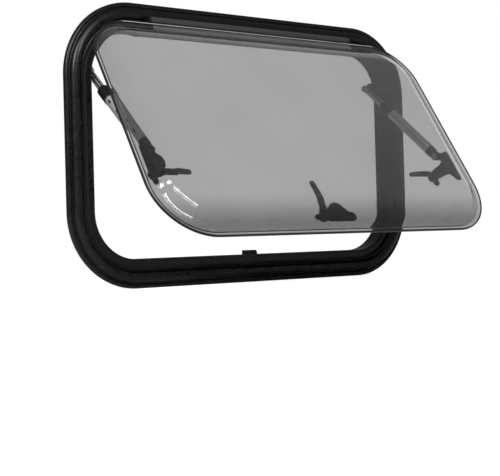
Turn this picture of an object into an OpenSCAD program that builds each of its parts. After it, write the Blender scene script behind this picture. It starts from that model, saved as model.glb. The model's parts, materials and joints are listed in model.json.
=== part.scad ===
// Top-hung caravan window, drawn half open.
// X runs across the window, -Y is outdoors and Z is up.
// The origin lies on the back of the bottom flange, in the plane of the vehicle's outer skin.

/* [Frame] */
// Width of the frame over its flange
frame_w = 545; // [500:1:640]
// Height of the frame over its flange
frame_h = 345; // [320:1:460]
// Corner radius of the flange's outer edge
frame_r = 92.5; // [80:0.5:110]
// Width of the frame's face, from the outer edge to the clear opening
face_w = 35.5; // [34:0.5:42]
// How far the flange laps over the vehicle's skin
flange_lap = 22.5; // [18:0.5:24]
// Depth of the frame behind the flange
stub_depth = 18; // [14:0.5:30]
// Height of the rounded face above the skin
face_h = 11; // [9.5:0.25:13]
// Depth of the inner seat below the top of the rounded face
seat_drop = 4; // [3:0.25:5]
// Width of the inner seat
seat_w = 14; // [13:0.25:16]
// Width of the rubber seal
seal_w = 4; // [3:0.25:4.5]
// Gap between the shut sash and the rubber seal
seal_gap = 0.3; // [0.2:0.05:1]

/* [Sash] */
// Angle by which the sash stands open
open_angle = 32.8; // [25:0.1:40]
// Face left showing beside the shut sash
side_margin = 15.5; // [12:0.5:18]
// Face left showing below the shut sash
bottom_margin = 9.5; // [6:0.5:14]
// Gap between the shut sash and the frame's rounded face
sash_clear = 1.25; // [0.75:0.25:2]
// Corner radius at the top of the sash
sash_r_top = 62; // [50:1:80]
// Corner radius at the bottom of the sash
sash_r_bottom = 71; // [55:1:90]
// Thickness of the outer pane
outer_t = 3; // [2:0.25:4]
// Thickness of the inner pane
inner_t = 2.5; // [2:0.25:4]
// Height of the outer pane's raised middle
dome_h = 12; // [4:0.5:16]
// Width of the outer pane's flat rim
rim_w = 16; // [12:0.5:20]
// Width of the slope between the rim and the raised middle
slope_w = 20; // [12:0.5:24]

/* [Hinge] */
// Distance of the hinge line below the frame's top edge
hinge_drop = 22.5; // [21:0.25:24]
// Distance from each end of the hinge to the start of the frame's round corner
hinge_end = 20; // [8:0.5:60]
// Radius of the hinge profile's round bead
bead_r = 2.9; // [2.4:0.1:3.2]
// Gap between the bead and its channel
bead_gap = 0.3; // [0.2:0.05:0.5]
// Wall of the hinge channel
channel_t = 2.3; // [1.8:0.1:2.6]
// Depth of the hinge profile's fin behind the panes' top edge
fin_len = 10.5; // [8:0.5:14]

/* [Stays] */
// Distance of the stay's upper pivot below the hinge line
stay_low = 59; // [54:0.5:66]
// Distance of the stay's upper pivot behind the frame's inner end
pivot_back = 3; // [1:0.5:8]
// Height of the lower pivot above the side latch's pivot, along the sash
foot_lift = 21.5; // [20:0.5:23]
// Diameter of the inner rod
rod_d = 9.4; // [8:0.1:10]
// Radial clearance of the rod in its tube
rod_gap = 0.4; // [0.2:0.05:0.6]
// Wall of the outer tube
tube_t = 1.6; // [1:0.1:2]
// Wall of the locking collar, over the tube
collar_t = 1.3; // [1:0.1:1.6]
// Length of the locking collar beyond the tube
collar_len = 15.5; // [10:0.5:17]
// Radius of the round ends that hold the pivots
knuckle_r = 4.8; // [4:0.1:5.2]
// Gap between the collar and the rod's eye when the sash is shut
shut_gap = 4.5; // [4:0.5:12]
// Gap between the rod and the tube's floor when the sash is shut
floor_gap = 10; // [5:0.5:20]
// Diameter of the pivot pins
pin_d = 5; // [4:0.25:6]
// Radial clearance of a bore on its pin
pin_gap = 0.06; // [0.02:0.01:0.1]

/* [Latches] */
// Distance of each latch pivot from the clear opening's edge
latch_in = 15; // [14.5:0.25:18]
// Height of the side latches above the sash's bottom edge
latch_up = 101; // [95:0.5:110]
// Distance of the bottom latch's pivot to the left of the middle
latch_left = 2; // [0:1:40]
// Length of the latch handle from its pivot
handle_len = 48; // [40:1:55]
// Width of the latch handle at its root
handle_w = 8; // [6:0.5:9]
// Gap between the locked foot and the frame
foot_clear = 1.5; // [1:0.25:4]
// Thickness of the latch foot
foot_t = 4; // [3:0.5:5]
// Thickness of the latch base's flange
base_t = 3; // [2:0.25:4]
// Length of the keeper on the frame
keeper_len = 20; // [14:1:26]
// How far the keeper stands into the opening
keeper_h = 5.5; // [4.5:0.25:6]
// Depth of the keeper
keeper_t = 7.5; // [5:0.5:9]
// Distance from the keeper's back to the frame's inner end
keeper_in = 8; // [4:0.5:8]
// Gap between the locked foot and the keeper's back
foot_gap = 0.6; // [0.3:0.1:1]

/* [Hidden] */
$fn = 48;
corner_fn = 96;

// How far joined solids run into each other, and cutters past a solid
overlap = 1;

// Frame face: a small outer bead, a broad rounded face and a flat seat for the seal
edge_bead = 3;
bead_lift = 0.2;
bead_end = 30;
hump_start = 172;
hump_end = 24;
step_w = 0.4;
hump_w = (face_w - seat_w) / 2 - edge_bead - step_w;
hump_mid = face_w - seat_w - hump_w - step_w;
hump_foot = 4;
seat_h = face_h - seat_drop;
inner_round = 3;
stub_gap = 1;
edge_cut = 1.2;
clear_w = frame_w - 2 * face_w;
clear_h = frame_h - 2 * face_w;
clear_r = frame_r - face_w;
centre_up = (frame_h - flange_lap) / 2;

// Panes, measured from their middle plane, which holds the hinge line
pane_t = outer_t + inner_t;
outer_back = pane_t / 2 - outer_t;
inner_back = -pane_t / 2;
hinge_up = frame_h / 2 - hinge_drop;
hinge_out = face_h + sash_clear + pane_t / 2;
channel_r = bead_r + bead_gap + channel_t;
channel_gap = 0.5;
pane_top = channel_r + channel_gap;
sash_w = frame_w - 2 * side_margin;
sash_h = frame_h - hinge_drop - bottom_margin - pane_top;
glass_gap = 0.5;
inner_inset = 6;
fin_end = pane_top + fin_len;
top_inset = fin_end + glass_gap;

// Seal, which runs further in along the top to pass the hinge
seal_in = face_w - seat_w + step_w;
seal_clear = 1;
seal_top = hinge_drop + channel_r + seal_clear;
seal_h = hinge_out + inner_back - seal_gap - seat_h;

// Hinge
hinge_len = frame_w - 2 * frame_r - 2 * hinge_end;
arm_t = 2.2;
arm_gap = 0.1;
fin_gap = 0.4;
web_t = 2;
open_more = 10;
swing_max = open_angle + open_more;
slot_margin = 8;
cap_t = 3;

// Latch, stacked inwards from the inner pane
clear_half = clear_w / 2;
keeper_back = stub_depth - keeper_in;
keeper_ramp = 2.5;
hub_r = 6.5;
hub_lip = 2;
hub_gap = 0.3;
foot_level = hinge_out + keeper_back + foot_gap;
hub_level = foot_level - hub_lip;
hub_t = foot_t + 2 * hub_lip;
hub_end = hub_level + hub_t;
foot_w = 10;
foot_reach = latch_in - foot_clear;
cap_h = 2;
latch_x = clear_half - latch_in;
latch_drop = sash_h + pane_top - latch_up;
bottom_drop = hinge_up + clear_h / 2 - latch_in;
base_back = inner_back - base_t;
base_long = 46;
base_shift = 1.5;
base_gap = 2.6;
ear_margin = 0.8;
base_r = 6;
tongue_half = 17;
tongue_r = 6;
tongue_end = 4;
heel_r = 7;
heel_shift = 2;
base_reach = latch_in + face_w - seal_in - seal_w - base_gap;
arm_w = 11;
arm_foot = 7;
arm_root = 3;
arm_taper = 1;
neck_r = 5.7;
neck_len = 5;
gusset_h = 9;
gusset_half = 11;
gusset_start = 3;
cap_r = 5;
handle_t = 4.5;
handle_tip_w = 5;
handle_rise = 5;
handle_dip = 2.5;
handle_step = 0.5;
handle_start = 0.8;
handle_mid = 0.6;
handle_swell = 0.6;
tip_thin = 0.7;
bend_over = 4.5;
bend_under = 7;

// Stay, with its pivots seen along X in the frame's face plane as [up, out]
function turned(p, a) = [p[0] * cos(a) + p[1] * sin(a), -p[0] * sin(a) + p[1] * cos(a)];
knuckle_gap = 0.45;
knuckle_extra = 0.2;
knuckle_w = rod_d + knuckle_extra;
knuckle_len = 16;
neck_w = 8;
plug_len = 8;
eye_neck = knuckle_r + overlap;
rivet_r = 3.5;
ear_low = 3;
side_gap = 0.5;
foot_drop = latch_drop - foot_lift;
foot_in = knuckle_r + knuckle_gap - base_back;
upper_pivot = [hinge_up - stay_low, -stub_depth - pivot_back];
lower_pivot = [hinge_up, hinge_out] + turned([-foot_drop, -foot_in], open_angle);
stay_vec = upper_pivot - lower_pivot;
stay_len = norm(stay_vec);
stay_angle = atan2(stay_vec[1], stay_vec[0]);
shut_len = norm(upper_pivot - [hinge_up - foot_drop, hinge_out - foot_in]);
bore_floor = 3;
tube_d = rod_d + 2 * rod_gap + 2 * tube_t;
tube_bore = tube_d - 2 * tube_t;
tube_len = shut_len - knuckle_len - collar_len - knuckle_r - shut_gap;
rod_len = shut_len - knuckle_len - bore_floor - floor_gap;
sleeve_len = 6;
ear_t = 3;
head_t = 1.6;
head_r = 4;
bracket_low = 4.5;
bracket_high = 8;
bracket_deep = 19;
bracket_edge = 1.9;
groove_w = 3.6;
groove_d = 3.4;

// Half the clear opening's width at a height in the upper corner
function half_width(up) =
    let (over = max(0, up - clear_h / 2 + clear_r))
    clear_half - clear_r + sqrt(max(0, clear_r * clear_r - over * over));
stay_x = half_width(upper_pivot[0] + bracket_high) - bracket_edge - side_gap - knuckle_w / 2;
ear_x = stay_x + knuckle_w / 2 + side_gap;
base_inner = ear_x - latch_x - ear_margin;

// Shapes laid out in the face frame: X across, Y up and Z outwards
module in_frame() {
    translate([0, 0, centre_up])
        rotate([90, 0, 0])
            children();
}

module on_sash() {
    in_frame()
        translate([0, hinge_up, hinge_out])
            rotate([-open_angle, 0, 0])
                children();
}

module on_stay() {
    in_frame()
        translate([0, lower_pivot[0], lower_pivot[1]])
            rotate([stay_angle, 0, 0])
                rotate([-90, 0, 0])
                    children();
}

function arc(cx, cy, rx, ry, a0, a1, steps) =
    [for (i = [0:steps]) let (a = a0 + (a1 - a0) * i / steps) [cx + rx * cos(a), cy + ry * sin(a)]];

// A profile of [inward, outward] points swept round a rectangle with round corners
module swept(w, h, r_top, r_bottom) {
    corners = [
        [w / 2 - r_top, h / 2 - r_top, r_top, 0],
        [-w / 2 + r_top, h / 2 - r_top, r_top, 90],
        [-w / 2 + r_bottom, -h / 2 + r_bottom, r_bottom, 180],
        [w / 2 - r_bottom, -h / 2 + r_bottom, r_bottom, 270]
    ];
    for (c = corners)
        translate([c[0], c[1], 0])
            rotate([0, 0, c[3]])
                rotate_extrude(angle = 90, $fn = corner_fn)
                    translate([c[2], 0])
                        mirror([1, 0])
                            children();
    side_len = h - r_top - r_bottom;
    side_y = (r_bottom - r_top) / 2;
    for (s = [-1, 1])
        translate([s * w / 2, side_y, 0])
            run(side_len, s < 0 ? 180 : 0)
                children();
    translate([0, h / 2, 0])
        run(w - 2 * r_top, 90)
            children();
    translate([0, -h / 2, 0])
        run(w - 2 * r_bottom, 270)
            children();
}

module run(len, turn) {
    rotate([0, 0, turn])
        rotate([90, 0, 0])
            linear_extrude(len, center = true)
                mirror([1, 0])
                    children();
}

// A rectangle with round corners
module round_rect(w, h, r_top, r_bottom) {
    translate([-w / 2, -h / 2 + r_bottom])
        square([w, h - r_top - r_bottom]);
    translate([-w / 2 + r_top, 0])
        square([w - 2 * r_top, h / 2]);
    translate([-w / 2 + r_bottom, -h / 2])
        square([w - 2 * r_bottom, h / 2]);
    for (s = [-1, 1]) {
        translate([s * (w / 2 - r_top), h / 2 - r_top])
            circle(r_top, $fn = corner_fn);
        translate([s * (w / 2 - r_bottom), -h / 2 + r_bottom])
            circle(r_bottom, $fn = corner_fn);
    }
}

module plate(w, h, r_top, r_bottom, t) {
    linear_extrude(t)
        round_rect(w, h, r_top, r_bottom);
}

module frame_profile() {
    polygon(concat(
        [[0, 0]],
        arc(edge_bead, edge_bead + bead_lift, edge_bead, edge_bead, 180, bead_end, 6),
        arc(hump_mid, hump_foot, hump_w, face_h - hump_foot, hump_start, hump_end, 14),
        [[seal_in - step_w, seat_h]],
        arc(face_w - inner_round, seat_h - inner_round, inner_round, inner_round, 90, 0, 6),
        [
            [face_w, -stub_depth + edge_cut], [face_w - edge_cut, -stub_depth],
            [flange_lap + stub_gap + edge_cut, -stub_depth],
            [flange_lap + stub_gap, -stub_depth + edge_cut], [flange_lap + stub_gap, 0]
        ]
    ));
}

module outer_frame() {
    color([0.07, 0.07, 0.075])
        in_frame()
            swept(frame_w, frame_h, frame_r, frame_r)
                frame_profile();
}

module frame_seal() {
    lip_r = seal_w / 2;
    r_top = frame_r - (seal_in + seal_top) / 2;
    color([0.16, 0.16, 0.17])
        in_frame()
            translate([0, (seal_in - seal_top) / 2, 0])
                swept(frame_w - 2 * seal_in, frame_h - seal_in - seal_top, r_top, frame_r - seal_in)
                    polygon(concat(
                        [[seal_w, seat_h], [0, seat_h]],
                        arc(lip_r, seat_h + seal_h - lip_r, lip_r, lip_r, 180, 0, 10)
                    ));
}

// Hinge sections, seen along X with [down, out] from the hinge line
module channel_solid() {
    difference() {
        union() {
            circle(channel_r);
            translate([-channel_r, -hinge_out + seat_h])
                square([channel_r, hinge_out - seat_h]);
        }
        translate([-hinge_drop, -hinge_out])
            frame_profile();
    }
}

module channel_section() {
    mouth = asin(arm_t / 2 / (bead_r + bead_gap)) + slot_margin;
    difference() {
        channel_solid();
        circle(bead_r + bead_gap);
        polygon([
            [0, 0], 2 * channel_r * [cos(-mouth), sin(-mouth)], [2 * channel_r, 0],
            2 * channel_r * [cos(swing_max / 2), sin(swing_max / 2)],
            2 * channel_r * [cos(swing_max + mouth), sin(swing_max + mouth)]
        ]);
    }
}

module along_hinge(from, len) {
    translate([from, 0, 0])
        rotate([0, -90, 0])
            rotate([0, 0, 90])
                rotate([180, 0, 0])
                    linear_extrude(len)
                        mirror([1, 0])
                            children();
}

module hinge_channel() {
    color([0.2, 0.2, 0.21])
        in_frame()
            translate([0, hinge_up, hinge_out])
                along_hinge(-hinge_len / 2, hinge_len)
                    channel_section();
}

module hinge_cap(side) {
    color([0.1, 0.1, 0.1])
        in_frame()
            translate([0, hinge_up, hinge_out])
                along_hinge(side > 0 ? hinge_len / 2 : -hinge_len / 2 - cap_t, cap_t)
                    channel_solid();
}

module hinge_profile() {
    arm_len = pane_top - arm_gap;
    fin_start = pane_top + fin_gap;
    color([0.24, 0.24, 0.25])
        on_sash()
            along_hinge(-hinge_len / 2, hinge_len) {
                circle(bead_r);
                translate([0, -arm_t / 2])
                    square([arm_len, arm_t]);
                translate([arm_len - web_t / 2, -arm_t / 2])
                    square([web_t, arm_t / 2 + outer_back]);
                translate([fin_start, inner_back])
                    square([fin_end - fin_start, inner_t]);
            }
}

function slope(t) = dome_h * (1 - cos(180 * t)) / 2;

module outer_pane() {
    steps = 10;
    low = concat([[0, 0]], [for (i = [0:steps]) [rim_w + slope_w * i / steps, slope(i / steps)]]);
    high = [for (i = [len(low) - 1:-1:0]) low[i] + [0, outer_t]];
    edge = rim_w + slope_w;
    color([0.45, 0.45, 0.46, 0.6])
        on_sash()
            translate([0, -pane_top - sash_h / 2, outer_back]) {
                swept(sash_w, sash_h, sash_r_top, sash_r_bottom)
                    polygon(concat(low, high));
                translate([0, 0, dome_h])
                    plate(sash_w - 2 * edge, sash_h - 2 * edge, sash_r_top - edge, sash_r_bottom - edge, outer_t);
            }
}

module inner_pane() {
    inner_h = sash_h + pane_top - top_inset - inner_inset;
    r_top = sash_r_top + pane_top - top_inset - inner_inset;
    color([0.5, 0.5, 0.52, 0.5])
        on_sash()
            translate([0, -top_inset - inner_h / 2, inner_back])
                plate(sash_w - 2 * inner_inset, inner_h, r_top, sash_r_bottom - inner_inset, inner_t);
}

// The clear opening, as a solid that reaches past the frame on both sides
module opening() {
    translate([0, 0, -frame_w / 2])
        plate(clear_w, clear_h, clear_r, clear_r, frame_w);
}

// Keepers stand on the inner face of the frame
module keeper() {
    rotate([0, -90, 0])
        linear_extrude(keeper_len, center = true)
            polygon([
                [-keeper_back, 0], [-keeper_back, keeper_h],
                [-keeper_back + keeper_t - keeper_ramp, keeper_h],
                [-keeper_back + keeper_t, keeper_h - keeper_ramp],
                [-keeper_back + keeper_t, 0]
            ]);
}

module keeper_bottom() {
    color([0.1, 0.1, 0.1])
        in_frame()
            intersection() {
                translate([-latch_left, -clear_h / 2, 0])
                    keeper();
                opening();
            }
}

module keeper_side(side) {
    color([0.1, 0.1, 0.1])
        in_frame()
            intersection() {
                translate([side * clear_half, hinge_up - latch_drop, 0])
                    rotate([0, 0, side * 90])
                        keeper();
                opening();
            }
}

// The bracket's back follows the frame's inner corner
module stay_bracket(side) {
    color([0.12, 0.12, 0.12])
        in_frame()
            mirror([side < 0 ? 1 : 0, 0, 0])
                intersection() {
                    translate([ear_x, upper_pivot[0] - bracket_low, upper_pivot[1] - bracket_low])
                        cube([clear_half - ear_x, bracket_low + bracket_high, bracket_deep]);
                    opening();
                }
}

// The ear stands on the latch base's flange, and its pin points to the middle of the window
module stay_foot(side) {
    ear_r = foot_in + base_back;
    pin_len = knuckle_w + 2 * side_gap;
    color([0.09, 0.09, 0.09])
        on_sash()
            mirror([side < 0 ? 1 : 0, 0, 0]) {
                translate([ear_x, -foot_drop, -foot_in])
                    rotate([0, 90, 0]) {
                        cylinder(r = ear_r, h = ear_t);
                        translate([0, 0, -pin_len - head_t])
                            cylinder(d = pin_d, h = pin_len + head_t + ear_t);
                        translate([0, 0, -pin_len - head_t])
                            cylinder(r = head_r, h = head_t);
                    }
                translate([ear_x, -foot_drop - ear_r, -foot_in])
                    cube([ear_t, ear_r + ear_low, ear_r]);
            }
}

// Stay parts run along Z from the lower pivot
module stay_tube(side) {
    color([0.62, 0.62, 0.64])
        on_stay()
            translate([side * stay_x, 0, knuckle_len])
                difference() {
                    cylinder(d = tube_d, h = tube_len);
                    translate([0, 0, bore_floor])
                        cylinder(d = tube_bore, h = tube_len);
                }
}

module stay_collar(side) {
    color([0.08, 0.08, 0.08])
        on_stay()
            translate([side * stay_x, 0, knuckle_len + tube_len - sleeve_len])
                difference() {
                    cylinder(d = tube_d + 2 * collar_t, h = collar_len + sleeve_len);
                    cylinder(d = tube_d, h = sleeve_len);
                    cylinder(d = tube_bore, h = 2 * (collar_len + sleeve_len));
                }
}

module tube_end(side) {
    color([0.08, 0.08, 0.08])
        on_stay()
            translate([side * stay_x, 0, 0])
                difference() {
                    union() {
                        rotate([0, 90, 0])
                            cylinder(r = knuckle_r, h = knuckle_w, center = true);
                        translate([-knuckle_w / 2, -neck_w / 2, 0])
                            cube([knuckle_w, neck_w, knuckle_len - plug_len + 2 * overlap]);
                        translate([0, 0, knuckle_len - plug_len])
                            cylinder(d = tube_d, h = plug_len);
                    }
                    rotate([0, 90, 0])
                        cylinder(d = pin_d + 2 * pin_gap, h = 2 * knuckle_w, center = true);
                }
}

module stay_rod(side) {
    color([0.55, 0.55, 0.57])
        on_stay()
            translate([side * stay_x, 0, stay_len - rod_len])
                difference() {
                    cylinder(d = rod_d, h = rod_len - eye_neck);
                    translate([-groove_w / 2, rod_d / 2 - groove_d, -overlap])
                        cube([groove_w, rod_d, rod_len + 2 * overlap]);
                }
}

module rod_eye(side) {
    color([0.5, 0.5, 0.52])
        on_stay()
            mirror([side < 0 ? 1 : 0, 0, 0])
                translate([stay_x, 0, stay_len]) {
                    rotate([0, 90, 0])
                        cylinder(r = knuckle_r, h = knuckle_w, center = true);
                    translate([-knuckle_w / 2 - head_t, 0, 0])
                        rotate([0, 90, 0])
                            cylinder(r = rivet_r, h = head_t);
                    translate([-knuckle_w / 2, -neck_w / 2, -eye_neck])
                        cube([knuckle_w, neck_w, eye_neck]);
                }
}

// Latch parts have their pivot on Z, the handle towards +Y and the foot towards -X
module latch_base_shape() {
    flange_w = base_reach - base_inner;
    hub_top = -hub_level + hub_gap;
    translate([0, 0, base_back])
        linear_extrude(base_t) {
            translate([base_shift, -base_inner - flange_w / 2])
                round_rect(base_long, flange_w, base_r, base_r);
            polygon([
                [-tongue_half, -base_inner - overlap], [-tongue_r, tongue_end],
                [tongue_r, tongue_end], [tongue_half, -base_inner - overlap]
            ]);
            translate([0, -heel_shift])
                circle(heel_r);
        }
    translate([0, -gusset_start, 0])
        rotate([90, 0, 0])
            linear_extrude(base_inner)
                polygon([
                    [-gusset_half, base_back + overlap], [-arm_w / 2, base_back - gusset_h],
                    [arm_w / 2, base_back - gusset_h], [gusset_half, base_back + overlap]
                ]);
    rotate([90, 0, 90])
        linear_extrude(arm_w, center = true)
            polygon([
                [-base_inner - arm_foot, base_back + overlap], [arm_root, base_back + overlap],
                [hub_r - arm_taper, hub_top], [-hub_r + arm_taper, hub_top]
            ]);
    translate([0, 0, hub_top])
        cylinder(r = neck_r, h = neck_len);
    translate([0, 0, -hub_end - hub_gap])
        cylinder(d = pin_d, h = hub_t + overlap);
}

module latch_cap_shape() {
    translate([0, 0, -hub_end - hub_gap - cap_h])
        cylinder(r = cap_r, h = cap_h);
}

// Seen along X, the handle bends towards the pane and dips again at its tip
module handle_side() {
    root = -hub_level - handle_step;
    bend = hub_r + handle_start;
    top = root + handle_rise;
    middle = handle_len * handle_mid;
    tip = top + handle_swell - handle_dip;
    polygon([
        [0, root], [bend, root], [bend + bend_over, top], [middle, top + handle_swell],
        [handle_len, tip], [handle_len, tip - handle_t + tip_thin],
        [middle, top + handle_swell / 2 - handle_t], [bend + bend_under, top - handle_t],
        [bend + overlap, root - handle_t], [0, root - handle_t - handle_step]
    ]);
}

module latch_lever_shape() {
    difference() {
        union() {
            translate([0, 0, -hub_end])
                cylinder(r = hub_r, h = hub_t);
            translate([-foot_reach, -foot_w / 2, -foot_level - foot_t])
                cube([foot_reach, foot_w, foot_t]);
            intersection() {
                rotate([90, 0, 90])
                    linear_extrude(2 * handle_w, center = true)
                        handle_side();
                translate([0, 0, -hub_end])
                    linear_extrude(hub_end)
                        polygon([
                            [-handle_w / 2, 0], [handle_w / 2, 0],
                            [handle_tip_w / 2, handle_len], [-handle_tip_w / 2, handle_len]
                        ]);
            }
        }
        translate([0, 0, -hub_end - overlap])
            cylinder(d = pin_d + 2 * pin_gap, h = hub_t + 2 * overlap);
    }
}

module at_latch(place) {
    on_sash() {
        if (place == "bottom")
            translate([-latch_left, -bottom_drop, 0])
                children();
        if (place == "right")
            translate([latch_x, -latch_drop, 0])
                rotate([0, 0, 90])
                    children();
        if (place == "left")
            translate([-latch_x, -latch_drop, 0])
                rotate([0, 0, -90])
                    mirror([1, 0, 0])
                        children();
    }
}

module latch_base(place) {
    color([0.08, 0.08, 0.08])
        at_latch(place)
            latch_base_shape();
}

module latch_cap(place) {
    color([0.14, 0.14, 0.14])
        at_latch(place)
            latch_cap_shape();
}

module latch_lever(place) {
    color([0.06, 0.06, 0.06])
        at_latch(place)
            latch_lever_shape();
}

outer_frame();
frame_seal();
hinge_channel();
hinge_cap(-1);  // hinge_cap_left
hinge_cap(1);  // hinge_cap_right
keeper_side(-1);  // keeper_left
keeper_side(1);  // keeper_right
keeper_bottom();
stay_bracket(-1);  // stay_bracket_left
stay_bracket(1);  // stay_bracket_right
outer_pane();
inner_pane();
hinge_profile();
stay_foot(-1);  // stay_foot_left
stay_foot(1);  // stay_foot_right
latch_base("left");  // latch_base_left
latch_base("right");  // latch_base_right
latch_base("bottom");  // latch_base_bottom
latch_cap("left");  // latch_cap_left
latch_cap("right");  // latch_cap_right
latch_cap("bottom");  // latch_cap_bottom
stay_tube(-1);  // stay_tube_left
stay_tube(1);  // stay_tube_right
stay_collar(-1);  // stay_collar_left
stay_collar(1);  // stay_collar_right
tube_end(-1);  // tube_end_left
tube_end(1);  // tube_end_right
stay_rod(-1);  // stay_rod_left
stay_rod(1);  // stay_rod_right
rod_eye(-1);  // rod_eye_left
rod_eye(1);  // rod_eye_right
latch_lever("left");  // latch_lever_left
latch_lever("right");  // latch_lever_right
latch_lever("bottom");  // latch_lever_bottom
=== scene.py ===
"""Finished looks of a top-hung caravan window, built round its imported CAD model."""

import json
import math

import bmesh
import bpy
from bpy.props import FloatProperty, FloatVectorProperty, IntProperty, PointerProperty
from mathutils import Matrix, Vector


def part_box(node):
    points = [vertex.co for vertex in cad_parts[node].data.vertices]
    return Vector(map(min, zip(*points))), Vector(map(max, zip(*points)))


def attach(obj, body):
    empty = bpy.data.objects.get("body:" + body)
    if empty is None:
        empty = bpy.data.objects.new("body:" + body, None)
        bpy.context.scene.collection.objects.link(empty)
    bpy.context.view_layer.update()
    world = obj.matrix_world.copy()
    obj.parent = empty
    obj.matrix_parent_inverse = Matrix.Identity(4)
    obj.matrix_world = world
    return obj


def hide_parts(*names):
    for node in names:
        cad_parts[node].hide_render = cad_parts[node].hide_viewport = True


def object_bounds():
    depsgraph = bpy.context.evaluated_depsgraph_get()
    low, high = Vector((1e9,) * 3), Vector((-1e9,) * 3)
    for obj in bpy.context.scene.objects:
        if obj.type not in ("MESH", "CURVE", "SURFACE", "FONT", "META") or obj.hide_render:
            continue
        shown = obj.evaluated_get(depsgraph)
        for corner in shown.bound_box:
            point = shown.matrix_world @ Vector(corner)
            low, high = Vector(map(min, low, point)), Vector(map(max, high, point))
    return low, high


bl_info = {
    "name": "Caravan Window Looks",
    "version": (1, 0, 0),
    "blender": (4, 5, 0),
    "location": "View3D > Sidebar > Window",
    "description": "Builds the finished pieces and the studio of a top-hung caravan window",
    "category": "Add Mesh",
}

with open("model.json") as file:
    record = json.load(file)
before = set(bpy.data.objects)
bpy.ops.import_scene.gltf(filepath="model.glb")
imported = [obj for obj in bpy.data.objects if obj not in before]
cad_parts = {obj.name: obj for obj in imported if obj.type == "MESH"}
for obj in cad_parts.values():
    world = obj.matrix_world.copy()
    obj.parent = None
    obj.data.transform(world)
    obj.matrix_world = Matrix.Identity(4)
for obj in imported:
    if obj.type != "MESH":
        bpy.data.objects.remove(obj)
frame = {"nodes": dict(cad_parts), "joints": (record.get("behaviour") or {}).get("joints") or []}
CAD_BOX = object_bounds()

# Solids are drawn in millimetres, as in the CAD source, and stored in metres.
MM = 0.001
SIDES = {"left": -1, "right": 1}
PLACES = ("left", "right", "bottom")
JOINTS = {joint["name"]: joint for joint in frame["joints"]}


def box_mm(node):
    """Lowest and highest corner of a CAD node, in millimetres."""
    low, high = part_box(node)
    return low / MM, high / MM


def middle_mm(node):
    """Middle of a CAD node's box, in millimetres."""
    low, high = box_mm(node)
    return (low + high) / 2


def axes(origin, x, y, z):
    """A matrix from three axes and an origin in metres."""
    matrix = Matrix((x, y, z)).transposed().to_4x4()
    matrix.translation = origin
    return matrix


# The frame's face plane: X across, Y up and Z outdoors
FRAME_LOW, FRAME_HIGH = box_mm("outer_frame")
FRAME_W = FRAME_HIGH.x - FRAME_LOW.x
FRAME_H = FRAME_HIGH.z - FRAME_LOW.z
FACE_H = -FRAME_LOW.y
STUB_DEPTH = FRAME_HIGH.y
CENTRE_UP = (FRAME_HIGH.z + FRAME_LOW.z) / 2
FACE = axes((0, 0, CENTRE_UP * MM), (1, 0, 0), (0, 0, 1), (0, -1, 0))

# The sash: the hinge line is its origin, Y runs up the panes and Z outdoors
OPEN = math.radians(-JOINTS["sash_hinge"]["range_deg"][0])
HINGE_POINT = Vector(JOINTS["sash_hinge"]["pos_m"])
SASH_UP = (0, math.sin(OPEN), math.cos(OPEN))
SASH_OUT = (0, -math.cos(OPEN), math.sin(OPEN))
SASH = axes(HINGE_POINT, (1, 0, 0), SASH_UP, SASH_OUT)
HINGE_UP = HINGE_POINT.z / MM - CENTRE_UP
HINGE_OUT = -HINGE_POINT.y / MM
HINGE_LEN = box_mm("hinge_channel")[1].x * 2

# Frame section, measured in from the flange's outer edge and out from the wall
FRAME_R = 92.5
FACE_W = 35.5
SEAT_DROP = 4
SEAT_W = 14
EDGE_BEAD = 3
STEP_W = 0.4
HUMP_FOOT = 4
INNER_ROUND = 3
FLANGE_LAP = 22.5
SEAT_H = FACE_H - SEAT_DROP
HUMP_W = (FACE_W - SEAT_W) / 2 - EDGE_BEAD - STEP_W
HUMP_MID = FACE_W - SEAT_W - HUMP_W - STEP_W
SEAL_W = 4
SEAL_IN = FACE_W - SEAT_W + STEP_W
SEAL_TOP = 29
CLEAR_HALF = FRAME_W / 2 - FACE_W

# Panes, measured from their middle plane
OUTER_T = 3
INNER_T = 2.5
OUTER_BACK = (OUTER_T + INNER_T) / 2 - OUTER_T
INNER_BACK = -(OUTER_T + INNER_T) / 2
# A hair's breadth between bonded faces, so light crosses them one after the other
BOND = 0.05
# Width of the dark line along the panes' cut edges: the edges are tinted near-black, and this strip of both
# faces beside them carries the same tint as painted shade
EDGE_LINE = 0.9
DOME_H = 12
RIM_W = 16
SLOPE_W = 20
SASH_R_TOP = 62
SASH_R_BOTTOM = 71
SASH_W = (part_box("outer_pane")[1].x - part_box("outer_pane")[0].x) / MM
PANE_TOP = 6
TOP_INSET = 17
INNER_INSET = SASH_W / 2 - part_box("inner_pane")[1].x / MM
SASH_H = 307


# Solids


def skin(rings, ring_closed=True, loop=True, lids=False):
    """Joins rings of points, each to the next, into a bmesh. Lids close it over the rings' open ends."""
    bm = bmesh.new()
    rows = [[bm.verts.new(point) for point in ring] for ring in rings]
    following = rows[1:] + rows[:1] if loop else rows[1:]
    count = len(rows[0])
    for one, two in zip(rows, following):
        for i in range(count if ring_closed else count - 1):
            j = (i + 1) % count
            bm.faces.new((one[i], one[j], two[j], two[i]))
    if not loop:
        for row in (rows[0], rows[-1]):
            bm.faces.new(row)
    if lids:
        for end in (0, -1):
            bm.faces.new([row[end] for row in rows])
    return tidy(bm)


def tidy(bm):
    """Merges doubled points and turns all faces outwards."""
    bmesh.ops.remove_doubles(bm, verts=bm.verts, dist=0.001)
    bmesh.ops.recalc_face_normals(bm, faces=bm.faces)
    return bm


def arc(cx, cy, rx, ry, start, end, steps):
    """Points on an ellipse between two angles in degrees."""
    turns = [math.radians(start + (end - start) * i / steps) for i in range(steps + 1)]
    return [(cx + rx * math.cos(t), cy + ry * math.sin(t)) for t in turns]


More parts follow.
